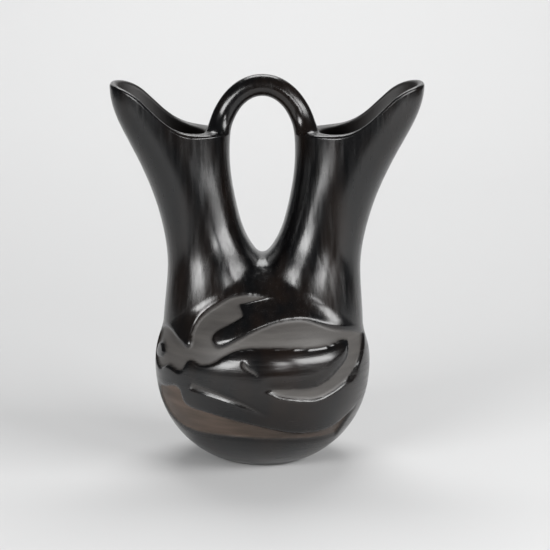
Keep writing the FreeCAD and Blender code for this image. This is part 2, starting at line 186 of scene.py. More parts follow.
# Form of each section, from the mouth down to the middle of the trunk: the power of its oval, how blunt
# it is at the outer side, how far it has grown to the trunk's depth, and its share of SEAT.
SQUARENESS = [2.0, 2.0, 2.0, 2.0, 2.05, 2.15, 2.25, 2.3, 2.3, 2.3]
BLUNTNESS = [0.7, 0.6, 0.4, 0.2, 0.0, 0.0, 0.0, 0.0, 0.0, 0.0]
DEPTH_GROWTH = [0.0, 0.0, 0.0, 0.0, 0.0, 0.0, 0.13, 0.47, 0.8, 1.0]
SEAT_SHARES = [1.0, 1.0, 0.75, 0.35, 0.08, 0.0, 0.0, 0.0, 0.0, 0.0]
NECK_HALF_DEPTH, TRUNK_HALF_DEPTH, TRUNK_FLOOR = 34.0, 49.0, 46.0
# Extra clay below the handle's feet, and how much of the bluntness the inner skin has.
SEAT, INNER_BLUNTNESS = 16.0, 0.6
# A mouth's edge from the front: it climbs at a slope between a hollow arc and a round one to its tip.
LIP_LOW_X, LIP_LOW_ARC, LIP_HIGH_ARC, LIP_SLOPE, TIP_RISE = 48.5, 39.5, 40.0, math.radians(44), 6.6


def toe_centre():
    """Centre of the arc that leaves the foot, inside the arc below the belly, and where that arc starts."""
    low, high = math.radians(-60), math.radians(0)
    for _ in range(60):
        turn = (low + high) / 2
        x = BELLY - LOWER_ARC + (LOWER_ARC - TOE_ARC) * math.cos(turn)
        z = BELLY_Z + (LOWER_ARC - TOE_ARC) * math.sin(turn)
        if math.hypot(FOOT - x, z) > TOE_ARC:
            high = turn
        else:
            low = turn
    return x, z, turn


TOE_X, TOE_Z, TOE_TURN = toe_centre()


def bowl_depth(radius, height, inset=0.0):
    """How far outside the bowl a point lies, less than zero inside."""
    crown_x, belly_x = BELLY - CROWN_ARC, BELLY - LOWER_ARC
    rise = height - BELLY_Z
    crown = np.where(radius > crown_x, np.hypot(radius - crown_x, rise), rise) - CROWN_ARC
    turn = np.arctan2(rise, radius - belly_x)
    below = np.hypot(radius - belly_x, rise) - LOWER_ARC
    toe = np.hypot(radius - TOE_X, height - TOE_Z) - TOE_ARC
    return np.where(height > BELLY_Z, crown, np.where(turn > TOE_TURN, below, toe)) + inset


def bowl_radius(height, inset=0.0):
    """Radius of the bowl at a height; nothing above its top."""
    low, high = np.zeros_like(height), np.full_like(height, 90.0)
    for _ in range(50):
        middle = (low + high) / 2
        outside = bowl_depth(middle, height, inset) > 0
        low, high = np.where(outside, low, middle), np.where(outside, middle, high)
    return low


def lean(height):
    """How far a neck has moved to the right at a height."""
    return LEAN * np.maximum(0.0, height - BELLY_Z)


def neck_skin(inset, seat, columns, rows):
    """Grid of points on the bent tube from the left mouth, through the trunk, to the right one."""
    gap = GAP_LINE + [(-x, z) for x, z in reversed(GAP_LINE[:-1])]
    outers = at_shares(OUTER_LINE, OUTER_SHARES)
    inners = at_shares(gap, [share / 2 for share in INNER_SHARES])
    middle = len(outers)
    sections = [(-1, k) for k in range(middle)] + [(0, middle)] + [(1, k) for k in reversed(range(middle))]
    starts, ends = [], []
    for side, k in sections:
        if side:
            starts.append((side * outers[k, 0] + lean(outers[k, 1]), 0, outers[k, 1]))
            ends.append((side * inners[k, 0], 0, inners[k, 1]))
        else:
            starts.append((0, 0, TRUNK_FLOOR))
            ends.append((0, 0, CROTCH))
    starts, ends = np.array(starts, float), np.array(ends, float)
    which = [k for _, k in sections]
    across = ends - starts
    across /= np.linalg.norm(across, axis=1)[:, None]
    starts = starts + across * inset
    ends = ends - across * (inset + seat * np.array(SEAT_SHARES)[which])[:, None]
    middles, half = (starts + ends) / 2, np.linalg.norm(ends - starts, axis=1) / 2
    growth = (TRUNK_HALF_DEPTH - NECK_HALF_DEPTH) * np.array(DEPTH_GROWTH)[which]
    depth = NECK_HALF_DEPTH + growth - inset
    turn = np.linspace(0, 2 * np.pi, columns, endpoint=False)[None, :]
    c, s = np.cos(turn), np.sin(turn)
    bluntness = 1.0 if seat == 0 else INNER_BLUNTNESS
    blunt = np.maximum(-c, 0) ** 0.5 * np.array(BLUNTNESS)[which][:, None] * bluntness
    power = 2 / (np.array(SQUARENESS)[which][:, None] + blunt)
    along = half[:, None] * np.sign(c) * np.abs(c) ** power
    aside = depth[:, None] * np.sign(s) * np.abs(s) ** power
    rings = middles[:, None, :] + across[:, None, :] * along[:, :, None]
    rings[:, :, 1] += aside
    steps = np.sqrt(np.linalg.norm(np.diff(middles, axis=0), axis=1))
    travel = np.concatenate([[0.0], np.cumsum(steps)])
    at = smooth_line(travel / travel[-1], rings.reshape(len(rings), -1))
    return at(np.linspace(0, 1, rows)).reshape(rows, columns, 3)


def lip_height(x, side):
    """Height of a mouth's edge above each x."""
    top = MOUTH_Z + TIP_RISE
    low_x = LIP_LOW_X + side * lean(LOW_EDGE)
    reach = side * x - low_x
    rise_x = LIP_LOW_ARC * math.sin(LIP_SLOPE)
    rise_z = LOW_EDGE + LIP_LOW_ARC * (1 - math.cos(LIP_SLOPE))
    crest_z = top - LIP_HIGH_ARC * (1 - math.cos(LIP_SLOPE))
    crest_x = rise_x + (crest_z - rise_z) / math.tan(LIP_SLOPE)
    tip_x = crest_x + LIP_HIGH_ARC * math.sin(LIP_SLOPE)
    from_low = np.clip(reach, 0, rise_x)
    from_tip = np.clip(tip_x - reach, 0, tip_x - crest_x)
    valley = LOW_EDGE + LIP_LOW_ARC - np.sqrt(np.maximum(LIP_LOW_ARC ** 2 - from_low ** 2, 0))
    hill = top - LIP_HIGH_ARC + np.sqrt(np.maximum(LIP_HIGH_ARC ** 2 - from_tip ** 2, 0))
    straight = rise_z + (reach - rise_x) * math.tan(LIP_SLOPE)
    return np.where(reach < rise_x, valley, np.where(reach < crest_x, straight, hill))


# How deep the carving goes, and where a wall starts and ends, as distances inwards from its outline.
CARVE, MOUTH_LINE_DEPTH, EYE_DEPTH = 2.4, 1.6, 1.1
WALL_TOP, WALL_FOOT = -0.5, 1.4
# How deep the clay beside a wall is worn and the head's edges fall away, and how far from the outline.
WORN, WORN_REACH = 0.45, 3.2
HEAD_FALL, HEAD_REACH = 2.0, 10.5
# Carving: outlines round the belly as (mm from the middle of the front, mm above the belly).
RECESS = [
    [(-126.3, 19.6), (-124.6, 23.6), (-118.5, 27), (-110, 29.3), (-101, 30.3), (-90, 29), (-83.2, 27),
     (-76.5, 25), (-70.5, 23.4), (-66.6, 21.9), (-63.6, 22.3), (-62.6, 25), (-64.2, 29), (-65, 34),
     (-63.5, 40.7), (-60.5, 44.7), (-56.2, 48.3), (-49.9, 52), (-42.5, 55.8), (-31.9, 58.7), (-20, 59.6),
     (-5.2, 59.1), (7, 58.5), (16.8, 57.6)],
    [(16.8, 57.6), (2.4, 56.5), (-11.9, 54.6), (-25.5, 52.7)],
    [(-25.5, 52.7), (-21.5, 49.8), (-18.4, 45.7)],
    [(-18.4, 45.7), (-25.2, 42.4), (-35.2, 37.6), (-41, 34), (-42.6, 31), (-41, 28.2), (-38.8, 25.9),
     (-35.6, 24.9), (-32.2, 25.7), (-23.5, 29.7), (-11.9, 35.3), (1.5, 40.2), (14.8, 43), (30.8, 44),
     (42, 43.2), (50.8, 41), (59.8, 37.7), (69.8, 34.6), (85, 31), (100, 27.2), (110, 24.6), (118, 22.6)],
    [(118, 22.6), (112, 21.2), (106.2, 18.8), (100, 15.3), (95.2, 11.8), (84.8, 3.6), (72.8, -3.8),
     (56.8, -10.6), (48.8, -13.1), (40.8, -14.2), (32.8, -13.7), (20, -11.6), (11.2, -9.1), (6.4, -6.2)],
    [(6.4, -6.2), (7.6, -3.4)],
    [(7.6, -3.4), (16.8, -3.6), (25, -4.2), (33, -4.4), (41, -4), (47.2, -2.6), (53.6, 0.2), (59.2, 3.6),
     (66, 7.7), (73, 12), (77.5, 17), (80.4, 23.6)],
    [(80.4, 23.6), (75, 24.9), (61.6, 23.9), (51.2, 23.1), (40.8, 23.2), (29.6, 24), (14.8, 25), (1.5, 25.5),
     (-8.5, 25.1), (-14.5, 24.4), (-19.9, 23), (-25.2, 20.7), (-29.9, 17.9), (-34.5, 14.6), (-39.5, 12),
     (-45.2, 10.6), (-49.9, 10.6), (-53.9, 11.9), (-58.5, 12.4), (-61.9, 10.9), (-63.9, 8), (-66, 4.8),
     (-69, 3), (-73.2, 3.3), (-79, 4.4), (-85.2, 4.4), (-90.5, 2.3), (-96, 0.1), (-104, -0.2), (-112.5, 2),
     (-119.5, 6.8), (-124.4, 13), (-126.3, 19.6)],
]
KNOB = [
    [(-117, 11), (-113, 15.6), (-105, 17.8), (-97.5, 16.3), (-94, 13)],
    [(-94, 13), (-97, 9.8), (-104, 7.6), (-112, 6), (-116.5, 7.8), (-117, 11)],
]
BAND = [
    [(-112.6, -22.5), (-106.5, -16), (-99.5, -12.9), (-93, -12), (-87.5, -10.8), (-80, -8.9), (-74, -8.5),
     (-69.5, -10.4), (-68, -14.5), (-66.8, -18.8), (-62.5, -21.7), (-51.9, -23.3), (-41.9, -24.4),
     (-31.9, -26.2), (-20.5, -28.5), (-5.2, -32), (10.8, -36.1), (22, -38.8), (40, -41), (55, -40.8),
     (66, -39), (75, -35.4), (90, -28.2)],
    [(90, -28.2), (84.6, -32.8), (81.2, -38.5), (79.8, -44), (80, -48.5)],
    [(80, -48.5), (64.8, -48.2), (52.8, -47.7), (40, -46.8), (20, -45.4), (0, -44.4), (-20, -43.6),
     (-40, -43.4), (-65, -43.5), (-80, -42), (-95, -37.5), (-106, -30.5), (-112.6, -22.5)],
]
MOUTH_LINE = [
    [(-56, -3), (-46, -4.3), (-36, -6.5), (-26, -9.6), (-14, -14.2), (-4, -19.4), (6.4, -25.3)],
    [(6.4, -25.3), (-4, -21.4), (-12, -18.1), (-21, -15.1), (-30, -12.7), (-42, -10.2), (-57.2, -8.2)],
    [(-57.2, -8.2), (-58.2, -5.4), (-56, -3)],
]
EYE = [
    [(-14.6, 16.6), (-14.2, 13.2), (-11.8, 10.6), (-7, 8.2), (-2.4, 5.6)],
    [(-2.4, 5.6), (-6.2, 9.4), (-10.4, 12), (-12.4, 14.2), (-14.6, 16.6)],
]
# How far round an outline distances are worked out, and what points further off get in their place.
MARGIN, FAR = 12, 1e9
# How far a grid point may move to reach a wall's line, as a share of the distance to its neighbours.
SNAP = 0.48


def along_belly(turn, half):
    """Distance round the belly from the middle of the front, or of the back for the second half."""
    return (np.mod(turn - half * math.pi + math.pi, 2 * math.pi) - math.pi) * BELLY


def edge_distance(outline, s, z):
    """Distance inwards from an outline, less than zero outside it, and the direction in which it grows."""
    loop = np.concatenate([through(run, 4 * len(run) if len(run) > 2 else 2)[:-1] for run in outline])
    low, high = loop.min(axis=0) - MARGIN, loop.max(axis=0) + MARGIN
    close = (s > low[0]) & (s < high[0]) & (z > low[1]) & (z < high[1])
    px, pz = s[close], z[close]
    best, within = np.full(px.shape, FAR), np.zeros(px.shape, bool)
    off_s, off_z = np.zeros(px.shape), np.zeros(px.shape)
    for (ax, az), (bx, bz) in zip(loop, np.roll(loop, -1, axis=0)):
        dx, dz = bx - ax, bz - az
        share = np.clip(((px - ax) * dx + (pz - az) * dz) / max(dx * dx + dz * dz, 1e-9), 0, 1)
        away_s, away_z = px - ax - share * dx, pz - az - share * dz
        reach = np.hypot(away_s, away_z)
        off_s, off_z = np.where(reach < best, away_s, off_s), np.where(reach < best, away_z, off_z)
        best = np.minimum(best, reach)
        if az != bz:
            within ^= ((az > pz) != (bz > pz)) & (px < (bx - ax) * (pz - az) / (bz - az) + ax)
    signed, grow_s, grow_z = np.full(s.shape, -FAR), np.zeros(s.shape), np.zeros(s.shape)
    signed[close] = np.where(within, best, -best)
    scale = np.where(within, 1.0, -1.0) / np.maximum(best, 1e-6)
    grow_s[close], grow_z[close] = off_s * scale, off_z * scale
    return signed, grow_s, grow_z


def step(value, low, high):
    """Smooth step from 0 at low to 1 at high."""
    share = np.clip((value - low) / (high - low), 0, 1)
    return share * share * (3 - 2 * share)


def on_walls(turn, height):
    """Grid moved so that the points near a carved wall's top or foot lie on it, which keeps walls even."""
    apart_z = np.abs(np.gradient(height, axis=0))
    apart_s = (turn[0, 1] - turn[0, 0]) * BELLY
    turn, height = turn.copy(), height.copy()
    moved = np.zeros(turn.shape, bool)
    for half in (0, 1):
        for outline, sign in ((RECESS, 1), (KNOB, -1), (BAND, 1)):
            inward, grow_s, grow_z = edge_distance(outline, along_belly(turn, half), height - BELLY_Z)
            for level in (sign * WALL_TOP, sign * WALL_FOOT):
                missing = level - inward
                reach = SNAP * np.maximum(np.abs(grow_z) * apart_z, np.abs(grow_s) * apart_s)
                near = (np.abs(missing) < reach) & ~moved
                turn += np.where(near, missing * grow_s / BELLY, 0)
                height += np.where(near, missing * grow_z, 0)
                moved |= near
    return turn, height


def carving(turn, height):
    """Depth of the carving, and how much a point lies on a matt floor and on the lower band."""
    depth, floor, band = (np.zeros(turn.shape) for _ in range(3))
    z = height - BELLY_Z
    for half in (0, 1):
        s = along_belly(turn, half)
        outlines = (RECESS, KNOB, BAND, MOUTH_LINE, EYE)
        hollow, knob, strip, groove, eye = (edge_distance(outline, s, z)[0] for outline in outlines)
        cut = np.minimum(hollow, -knob)
        depth += CARVE * step(cut, WALL_TOP, WALL_FOOT)
        # The lower band is a quarter shallower at its left end.
        depth += CARVE * step(strip, WALL_TOP, WALL_FOOT) * (0.75 + 0.25 * step(s, -60, 40))
        depth += MOUTH_LINE_DEPTH * step(groove, -0.7, 1.5) + EYE_DEPTH * step(eye, -0.4, 0.6)
        worn = np.clip(1 + np.maximum(cut, strip) / WORN_REACH, 0, 1)
        depth += np.where(np.maximum(cut, strip) < 0, WORN * worn ** 2, 0)
        # The head swells: its edges fall away towards the hollow round it.
        head = step(s, -48, -8) * step(90 - s, 0, 8) * step(z + 8, 0, 6) * step(30 - z, 0, 4)
        fall = np.clip(1 + hollow / HEAD_REACH, 0, 1)
        depth += np.where(hollow < 0, HEAD_FALL * head * fall ** 2, 0)
        floor = np.maximum(floor, step(cut, 0.2, 1.6))
        floor = np.maximum(floor, 0.6 * np.maximum(step(groove, 0.2, 1.4), step(eye, -0.3, 0.4)))
        # The lower band's matt clay is rubbed dark towards the right.
        band = np.maximum(band, step(strip, 0.2, 1.6) * (1 - 0.45 * step(s, -50, 30)))
    return depth, floor, band


# Grids of faces.
def strip_faces(first, second):
    """Quads between two closed rows of vertex numbers."""
    count = len(first)
    return [(first[k], first[(k + 1) % count], second[(k + 1) % count], second[k]) for k in range(count)]


def zip_faces(low, low_turn, high, high_turn):
    """Triangles between two closed loops, each in order of angle."""
    i = j = 0
    faces = []
    n, m = len(low), len(high)
    while i < n or j < m:
        next_low = low_turn[i + 1] if i + 1 < n else low_turn[0] + 2 * math.pi
        next_high = high_turn[j + 1] if j + 1 < m else high_turn[0] + 2 * math.pi
        if j >= m or (i < n and next_low <= next_high):
            faces.append((low[i % n], low[(i + 1) % n], high[j % m]))
            i += 1
        else:
            faces.append((low[i % n], high[(j + 1) % m], high[j % m]))
            j += 1
    return faces


# How the finish varies over the clay: matt carved floors, the brown lower band and the bare inside.
MASKS = ("matt_floor", "lower_band", "bare_inside")


class Clay:
    """Vertices, faces and the masks of the finish while the skin is put together."""

    def __init__(self):
        self.points, self.faces = [], []
        self.masks = {name: [] for name in MASKS}
        self.count = 0

    def rows(self, grid, **masks):
        """Add a grid of points; returns their numbers."""
        shape = grid.shape[:-1]
        self.points.append(grid.reshape(-1, 3))
        for name in MASKS:
            self.masks[name].append(np.broadcast_to(masks.get(name, 0.0), shape).ravel())
        numbers = np.arange(self.count, self.count + int(np.prod(shape))).reshape(shape)
        self.count += numbers.size
        return numbers


def bearing(points):
    """Angle round the axis, 0 at the front, growing to the right."""
    return np.arctan2(points[..., 0], -points[..., 1])


def sampled(field, turn, heights, angles, levels):
    """Values of a regular field between its columns and rows."""
    column = (angles - turn[0]) / (turn[1] - turn[0])
    row = np.interp(levels, heights, np.arange(len(heights)))
    i, j = np.clip(row.astype(int), 0, len(heights) - 2), np.floor(column).astype(int)
    a, b = row - i, column - j
    j, k = j % len(turn), (j + 1) % len(turn)
    below = field[i, j] * (1 - b) + field[i, k] * b
    above = field[i + 1, j] * (1 - b) + field[i + 1, k] * b
    return below * (1 - a) + above * a


def softened(grid, deep):
    """Edges of the carving rounded by rubbing: points on a wall move towards the mean of their neighbours."""
    rows = np.pad(deep, ((1, 1), (0, 0)), mode="edge")
    change = np.abs(rows[:-2] - deep) + np.abs(rows[2:] - deep)
    change += np.abs(np.roll(deep, 1, axis=1) - deep) + np.abs(np.roll(deep, -1, axis=1) - deep)
    full_change, rounds = 0.6, 2
    weight = 0.5 * np.clip(change / full_change, 0, 1)[..., None]
    for _ in range(rounds):
        rows = np.pad(grid, ((1, 1), (0, 0), (0, 0)), mode="edge")
        mean = (rows[:-2] + rows[2:] + np.roll(grid, 1, axis=1) + np.roll(grid, -1, axis=1)) / 4
        grid = grid + (mean - grid) * weight
    return grid


def skin_tree(skin):
    """Search tree of a neck skin."""
    rows, columns = skin.shape[:2]
    numbers = np.arange(rows * columns).reshape(rows, columns)
    faces = [face for a, b in zip(numbers, numbers[1:]) for face in strip_faces(a, b)]
    faces += [tuple(numbers[0]), tuple(numbers[-1])]
    return BVHTree.FromPolygons(skin.reshape(-1, 3).tolist(), faces)


def tube_radius(skin, heights, turn):
    """Radius of the bent tube round the axis, nothing where it has none, and how steep it is there."""
    tube = skin_tree(skin)
    beyond, steepest = 150, 3.0
    radius = np.zeros((len(heights), len(turn)))
    for i, height in enumerate(heights):
        for j, angle in enumerate(turn):
            out = Vector((math.sin(angle), -math.cos(angle), 0))
            hit = tube.ray_cast(out * beyond + Vector((0, 0, height)), -out, beyond)[0]
            if hit:
                radius[i, j] = math.hypot(hit.x, hit.y)
    slope_z = np.gradient(radius, heights, axis=0)
    wrapped = np.concatenate([radius[:, -2:], radius, radius[:, :2]], axis=1)
    slope_t = np.gradient(wrapped, turn[1] - turn[0], axis=1)[:, 2:-2]
    steep = np.sqrt(1 + slope_z ** 2 + (slope_t / np.maximum(radius, 1)) ** 2)
    return radius, np.minimum(steep, steepest)


def melted(radius, tube, steep, level, turn):
    """Radius where the tube melts into the bowl, widely at the front and back and tightly at the sides."""
    at_sides, more_in_front, most, no_tube = 2.5, 9.0, 12, 99.0
    width = at_sides + more_in_front * np.cos(turn)[None, :] ** 2
    low, high = radius.copy(), radius + most
    for _ in range(24):
        middle = (low + high) / 2
        a = bowl_depth(middle, level)
        b = np.where(tube > 0, (middle - tube) / steep, no_tube)
        h = np.maximum(width - np.abs(a - b), 0)
        outside = np.minimum(a, b) - h * h / (4 * width) > 0
        high, low = np.where(outside, middle, high), np.where(outside, low, middle)
    return (low + high) / 2


def round_part(clay, skin, heights, columns, outer):
    """Rows round the bowl and the trunk from the foot up, carved outside; returns their angles too."""
    turn = np.linspace(-math.pi, math.pi, columns, endpoint=False)
    tube, steep = tube_radius(skin, heights, turn)
    radius = np.maximum(bowl_radius(heights, 0.0 if outer else WALL)[:, None], tube)
    angles = np.broadcast_to(turn, radius.shape)
    levels = np.broadcast_to(heights[:, None], radius.shape)
    if outer:
        radius = melted(radius, tube, steep, levels, turn)
        angles, levels = on_walls(angles, levels)
        radius = sampled(radius, turn, heights, angles, levels)
    grid = np.stack([radius * np.sin(angles), -radius * np.cos(angles), levels], axis=-1)
    masks = {"bare_inside": 0.0 if outer else 1.0}
    if outer:
        deep, masks["matt_floor"], masks["lower_band"] = carving(angles, levels)
        along = np.roll(grid, -1, axis=1) - np.roll(grid, 1, axis=1)
        normal = np.cross(along, np.gradient(grid, axis=0))
        normal /= np.linalg.norm(normal, axis=-1)[..., None]
        grid = softened(grid - normal * deep[..., None], deep)
    numbers = clay.rows(grid, **masks)
    for low_row, high_row in zip(numbers, numbers[1:]):
        clay.faces += strip_faces(low_row, high_row)
    return numbers, turn


def trimmed(skin, side, cut, spread):
    """Half of a neck skin from its lip down to the cut, or to the middle where it stays above it."""
    dense = skin if side < 0 else skin[::-1]
    dense = dense[:(len(dense) + 1) // 2]
    count, columns = dense.shape[:2]
    place_on = np.arange(count)
    grid = np.zeros((len(spread), columns, 3))
    stays_above = np.zeros(columns, bool)
    for j in range(columns):
        line = dense[:, j]
        above = line[:, 2] - lip_height(line[:, 0], side)
        first = int(np.argmax(above < 0))
        start = first - 1 + above[first - 1] / (above[first - 1] - above[first])
        below = np.nonzero(line[first:, 2] < cut)[0]
        if len(below):
            k = first + below[0]
            end = k - 1 + (line[k - 1, 2] - cut) / (line[k - 1, 2] - line[k, 2])
        else:
            end, stays_above[j] = count - 1, True
        travel = lengths(line)
        a, b = np.interp([start, end], place_on, travel)
        wanted = a + (b - a) * spread
        grid[:, j] = np.stack([np.interp(wanted, travel, line[:, k]) for k in range(3)], axis=1)
    return grid, stays_above


# Rows of the rounded lip, and how far down both skins it starts.
LIP_ROWS, LIP_START = 9, 3.0


def lip_rows(outside, inside):
    """Rounded edge between the two skins; moves their second rows to where it starts."""
    b, c = outside[0].copy(), inside[0].copy()
    for grid in (outside, inside):
        down = grid[1] - grid[0]
        grid[1] = grid[0] + down / np.linalg.norm(down, axis=1)[:, None] * LIP_START
    a, d = outside[1], inside[1]
    share = np.linspace(0, 1, LIP_ROWS + 2)[1:-1][:, None, None]
    left = 1 - share
    return a * left ** 3 + 3 * b * share * left ** 2 + 3 * c * share ** 2 * left + d * share ** 3


# Columns and rows of the necks, and the heights at which their outer and inner skins meet the round rows.
NECK_COLUMNS, SKIN_ROWS, OUTER_ROWS, INNER_ROWS = 128, 1601, 64, 40
OUTER_CUT, INNER_CUT = 148.0, 140.0


def neck_part(clay):
    """Both necks outside and inside, with rounded lips; returns the open loops at the cuts and the skins."""
    skins = {"out": neck_skin(0.0, 0.0, NECK_COLUMNS, SKIN_ROWS),
             "in": neck_skin(WALL, SEAT, NECK_COLUMNS, SKIN_ROWS)}
    outer_spread = np.linspace(0, 1, OUTER_ROWS)
    # The inner rows lie closer together near the lip, where they can be seen.
    inner_spread = np.linspace(0, 1, INNER_ROWS) ** 1.2
    sheets, ends, stay_above = {}, {}, {}
    for side in (-1, 1):
        outside, above_out = trimmed(skins["out"], side, OUTER_CUT, outer_spread)
        inside, above_in = trimmed(skins["in"], side, INNER_CUT, inner_spread)
        lip = lip_rows(outside, inside)
        out_numbers, in_numbers = clay.rows(outside[1:]), clay.rows(inside[1:], bare_inside=1.0)
        lip_numbers = clay.rows(lip, bare_inside=np.linspace(0, 1, LIP_ROWS)[:, None] ** 2)
        sheets[side] = np.concatenate([out_numbers[::-1], lip_numbers, in_numbers])
        ends[side] = {"out": out_numbers[-1], "in": in_numbers[-1]}
        stay_above[side] = {"out": above_out, "in": above_in}
    loops = {}
    for which in ("out", "in"):
        left, right, above = ends[-1][which], ends[1][which], stay_above[-1][which]
        # Columns that stay above the cut meet at the middle, where the right half takes the left's points.
        for j in np.nonzero(above)[0]:
            sheets[1][sheets[1] == right[j]] = left[j]
        loops[which] = [row[j] for row in (left, right) for j in range(NECK_COLUMNS) if not above[j]]
        inner = above & np.roll(above, 1) & np.roll(above, -1)
        loops[which] += [left[j] for j in np.nonzero(above & ~inner)[0]]
    for sheet in (sheets[-1], sheets[1]):
        for a, b in zip(sheet, sheet[1:]):
            clay.faces += strip_faces(a, b)
    return loops, skins


def close_round(clay, numbers, height, bare):
    """Flat disc over the lowest row."""
    centre = clay.rows(np.array([[0.0, 0.0, height]]), bare_inside=bare)[0]
    count = len(numbers)
    clay.faces += [(numbers[k], centre, numbers[(k + 1) % count]) for k in range(count)]


def bowl_heights(low, high, spacing):
    """Heights that lie evenly along the bowl's curve, but no closer than the trunk can show."""
    z = np.linspace(low, high, 4000)
    steepest = 1.1
    steep = np.minimum(np.abs(np.gradient(bowl_radius(z), z)), steepest)
    travel = np.concatenate([[0.0], np.cumsum(np.diff(z) * np.sqrt(1 + steep[1:] ** 2))])
    return np.interp(np.linspace(0, travel[-1], int(travel[-1] / spacing)), travel, z)


def make_mesh(name, clay):
    """Mesh in metres, with the masks as attributes."""
    points = np.concatenate(clay.points) * MM
    mesh = bpy.data.meshes.new(name)
    mesh.from_pydata(points.tolist(), [], [tuple(int(k) for k in face) for face in clay.faces])
    for label, values in clay.masks.items():
        attribute = mesh.attributes.new(label, "FLOAT", "POINT")
        attribute.data.foreach_set("value", np.concatenate(values).astype(np.float32))
    shell = bmesh.new()
    shell.from_mesh(mesh)
    loose = [vertex for vertex in shell.verts if not vertex.link_faces]
    bmesh.ops.delete(shell, geom=loose, context="VERTS")
    bmesh.ops.recalc_face_normals(shell, faces=shell.faces[:])
    shell.to_mesh(mesh)
    shell.free()
    mesh.shade_smooth()
    return mesh


def place(name, mesh, material):
    """Object at the origin that stands for the solid."""
    piece = bpy.data.objects.new(name, mesh)
    bpy.context.scene.collection.objects.link(piece)
    mesh.materials.clear()
    mesh.materials.append(material)
    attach(piece, BODY)
    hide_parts("vase")


# Finishes.
def burnished_clay(look):
    """Smoke-fired clay rubbed with a smooth stone: near black, with stone marks, and matt where carved."""
    material = bpy.data.materials.new("burnished_blackware")
    material.use_nodes = True
    tree = material.node_tree
    tree.nodes.clear()
    place_on = add(tree, "ShaderNodeTexCoord").outputs["Object"]
    floor, band, within = (
        add(tree, "ShaderNodeAttribute", attribute_name=name).outputs["Fac"] for name in MASKS)

    # Stone marks: each rub is about 3 mm wide and 40 mm long, upright on the necks and level on the bowl.
    rub_up = noise(tree, place_on, (330, 330, 24), 3.0)
    rub_round = noise(tree, place_on, (26, 26, 330), 3.0)
    height = add(tree, "ShaderNodeSeparateXYZ", {"Vector": place_on}).outputs["Z"]
    on_neck = add(tree, "ShaderNodeMapRange", {"Value": height, "From Min": 0.096, "From Max": 0.118})
    rub = mixed(tree, "FLOAT", on_neck.outputs["Result"], rub_round, rub_up)
    # Fire clouds: slow brown patches, about 60 mm across and drawn out upwards.
    cloud = noise(tree, place_on, (34, 34, 9), 4.0)
    black = ramp(tree, cloud, [(0.44, look.black), (0.66, look.cloud)])
    # Grit of the bare clay, about 0.6 mm, drawn twice as coarse so that it shows.
    grit = add(tree, "ShaderNodeTexNoise", {"Vector": place_on, "Scale": 900.0, "Detail": 2.0}).outputs["Fac"]
    smear = noise(tree, place_on, (22, 22, 190), 5.0)
    grey = ramp(tree, smear, [(0.3, look.hollow_dark), (0.7, look.hollow)])
    brown = ramp(tree, smear, [(0.3, look.band_dark), (0.7, look.band)])

    colour = mixed(tree, "RGBA", floor, black, grey)
    colour = mixed(tree, "RGBA", band, colour, brown)
    colour = mixed(tree, "RGBA", within, colour, linear(look.inside))
    bare = maths(tree, "MAXIMUM", maths(tree, "MAXIMUM", floor, band), within)
    gloss = add(tree, "ShaderNodeMapRange", {
        "Value": rub, "From Min": 0.3, "From Max": 0.75, "To Min": look.polish - 0.05,
        "To Max": look.polish + 0.1}).outputs["Result"]
    bare_roughness = 0.55
    rough = mixed(tree, "FLOAT", bare, gloss, bare_roughness)
    rubbed = add(tree, "ShaderNodeBump", {"Height": rub, "Strength": 0.11, "Distance": 0.001})
    gritty = add(tree, "ShaderNodeBump", {
        "Height": grit, "Strength": maths(tree, "MULTIPLY", bare, 0.25), "Distance": 0.0006,
        "Normal": rubbed.outputs["Normal"]})
    surface = add(tree, "ShaderNodeBsdfPrincipled", {
        "Base Color": colour, "Roughness": rough, "IOR": 1.55, "Normal": gritty.outputs["Normal"]})
    add(tree, "ShaderNodeOutputMaterial", {"Surface": surface.outputs["BSDF"]})
    return material


def paper(look):
    """Matt white studio paper."""
    material = bpy.data.materials.new("studio_paper")
    material.use_nodes = True
    surface = material.node_tree.nodes["Principled BSDF"]
    surface.inputs["Base Color"].default_value = linear(look.paper)
    surface.inputs["Roughness"].default_value = 0.9
    surface.inputs["Specular IOR Level"].default_value = 0.1
    return material


# Sizes and colours that a user would change.
class VASE_PG_look(bpy.types.PropertyGroup):
    black: bpy.props.StringProperty(name="Black", description="Burnished clay", default="#060607")
    cloud: bpy.props.StringProperty(
        name="Fire cloud", description="Brown cast in the black", default="#160f0b")
    hollow: bpy.props.StringProperty(
        name="Hollow", description="Matt clay of the long hollow", default="#524f4c")
    hollow_dark: bpy.props.StringProperty(
        name="Hollow, dark", description="Its darker smears", default="#3f3c3a")
    band: bpy.props.StringProperty(name="Band", description="Matt clay of the lower band", default="#55463c")
    band_dark: bpy.props.StringProperty(name="Band, dark", description="Its darker smears", default="#33291f")
    paper: bpy.props.StringProperty(name="Paper", description="Studio floor and backdrop", default="#d7d7d7")
    inside: bpy.props.StringProperty(name="Inside", description="Unburnished clay inside", default="#221f1e")
    polish: bpy.props.FloatProperty(
        name="Roughness", description="Roughness of the burnished clay", default=0.21, min=0.03, max=1.0,
        subtype="FACTOR")


class VASE_PG_handle(bpy.types.PropertyGroup):
    thickness: bpy.props.FloatProperty(
        name="Thickness", description="Coil that the handle is made of", default=0.016, unit="LENGTH",
        subtype="DISTANCE")
    flare: bpy.props.FloatProperty(
        name="Flare", description="How many times wider the coil is where it meets the lips", default=1.15)
    fillet: bpy.props.FloatProperty(
        name="Fillet", description="Height over which the coil flows into the lips", default=0.017,
        unit="LENGTH", subtype="DISTANCE")


